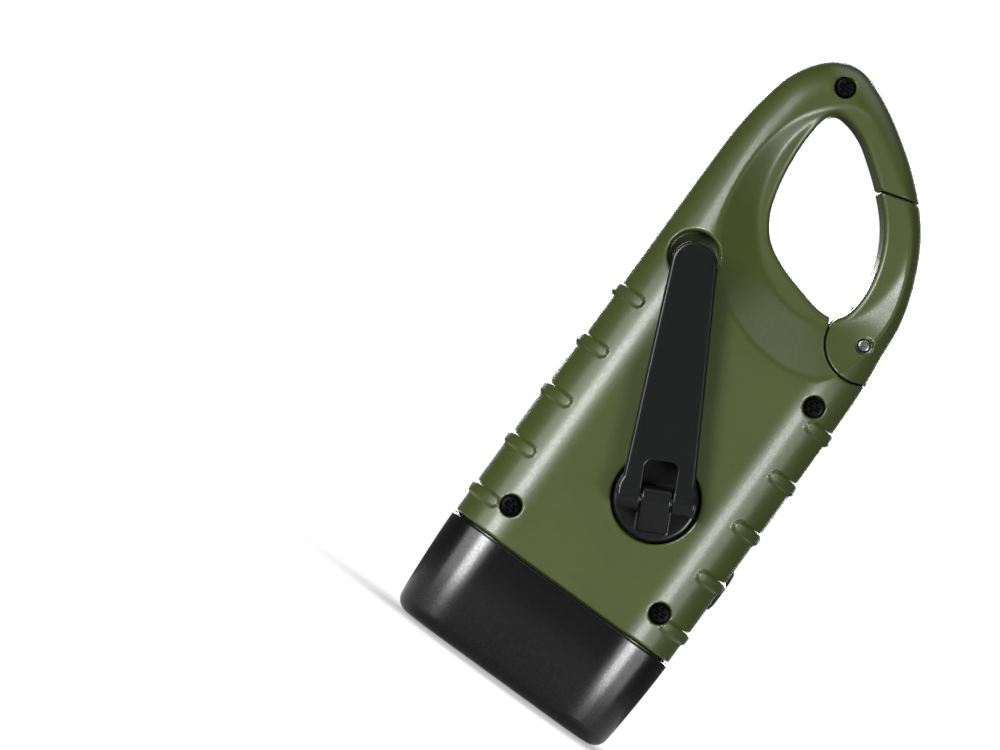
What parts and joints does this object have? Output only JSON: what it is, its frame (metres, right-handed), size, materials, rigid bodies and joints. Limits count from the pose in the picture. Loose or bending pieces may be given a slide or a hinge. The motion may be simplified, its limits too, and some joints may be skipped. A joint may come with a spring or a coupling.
{
  "type": "hand crank flashlight",
  "caption": "Pocket flashlight with a fold-out generator crank on one face, a solar panel on the other and a carabiner tail with a sprung gate.",
  "frame": {"origin": "centre of the bounding box seen from above, in the plane of the flat front rim of the head", "axes": "+Z along the light from the front rim to the top of the carabiner, +Y out of the solar panel, +X towards the carabiner gate; the crank is on the -Y face and the beam points along -Z"},
  "size_m": [0.0534, 0.0428, 0.14],
  "materials": {
    "olive_plastic": "olive moulded plastic, satin with fine grain",
    "black_plastic": "near-black moulded plastic, satin with fine grain",
    "charcoal_plastic": "charcoal moulded plastic, satin",
    "clear_lens": "clear acrylic sheet",
    "mirror_coat": "vacuum-metallised plastic",
    "lamp_resin": "clear lamp resin",
    "circuit_board": "green solder mask",
    "solar_glass": "dark red-brown cell under clear resin",
    "nylon": "natural nylon",
    "steel": "bright steel",
    "ferrite": "dark grey ferrite",
    "copper": "enamelled copper wire"
  },
  "bodies": {
    "case": {"front_shell": "olive_plastic", "back_shell": "olive_plastic", "head_bezel": "black_plastic", "lens": "clear_lens", "reflector": "mirror_coat", "led_1": "lamp_resin", "led_2": "lamp_resin", "led_3": "lamp_resin", "led_board": "circuit_board", "solar_frame": "charcoal_plastic", "solar_window": "solar_glass", "solar_cell": "solar_glass", "gear_axle": "steel", "stator_can": "steel", "stator_coil": "copper", "gear_plate": "steel", "plate_screw_1": "steel", "plate_screw_2": "steel", "plate_screw_3": "steel", "main_board": "circuit_board", "board_screw_1": "steel", "board_screw_2": "steel", "battery_pack": "steel", "switch_body": "black_plastic", "gate_pin": "steel", "gate_spring": "steel", "case_screw_1": "steel", "case_screw_2": "steel", "case_screw_3": "steel", "case_screw_4": "steel"},
    "crank": {"crank_hub": "black_plastic", "crank_gear": "nylon", "crank_clip": "steel"},
    "arm": {"crank_arm": "black_plastic", "hinge_pin": "steel", "knob_rivet": "steel"},
    "knob": {"crank_knob": "black_plastic"},
    "middle_gear": {"compound_gear": "nylon"},
    "rotor": {"rotor_shaft": "steel", "rotor_magnet": "ferrite"},
    "gate": {"gate": "olive_plastic"},
    "button": {"push_button": "black_plastic", "switch_plunger": "nylon"}
  },
  "joints": [
    {"name": "crank_spin", "type": "hinge", "parent": "case", "child": "crank", "pos_m": [0.00438, -0.01395, 0.0471], "axis": [0, 1, 0], "continuous": true},
    {"name": "crank_fold", "type": "hinge", "parent": "crank", "child": "arm", "pos_m": [0.00438, -0.01875, 0.0471], "axis": [0.8926, 0, 0.4509], "range_deg": [0, 180]},
    {"name": "knob_spin", "type": "hinge", "parent": "arm", "child": "knob", "pos_m": [-0.01673, -0.01795, 0.08887], "axis": [0, 1, 0], "continuous": true},
    {"name": "gear_spin", "type": "hinge", "parent": "case", "child": "middle_gear", "pos_m": [-0.00771, -0.00795, 0.06202], "axis": [0, 1, 0], "continuous": true},
    {"name": "rotor_spin", "type": "hinge", "parent": "case", "child": "rotor", "pos_m": [0.01055, -0.00295, 0.06795], "axis": [0, 1, 0], "continuous": true},
    {"name": "gate_swing", "type": "hinge", "parent": "case", "child": "gate", "pos_m": [0.01998, 0.00205, 0.0958], "axis": [0, -1, 0], "range_deg": [0, 32], "stiffness_Nm_per_rad": 0.04, "springref_deg": -28.65},
    {"name": "button_press", "type": "slide", "parent": "case", "child": "button", "axis": [-1, 0, 0], "range_m": [0, 0.0008], "stiffness_N_per_m": 400, "springref_m": -0.001}
  ],
  "couplings": [
    {"joint": "gear_spin", "follows": "crank_spin", "ratio": -3},
    {"joint": "rotor_spin", "follows": "crank_spin", "ratio": 9}
  ]
}
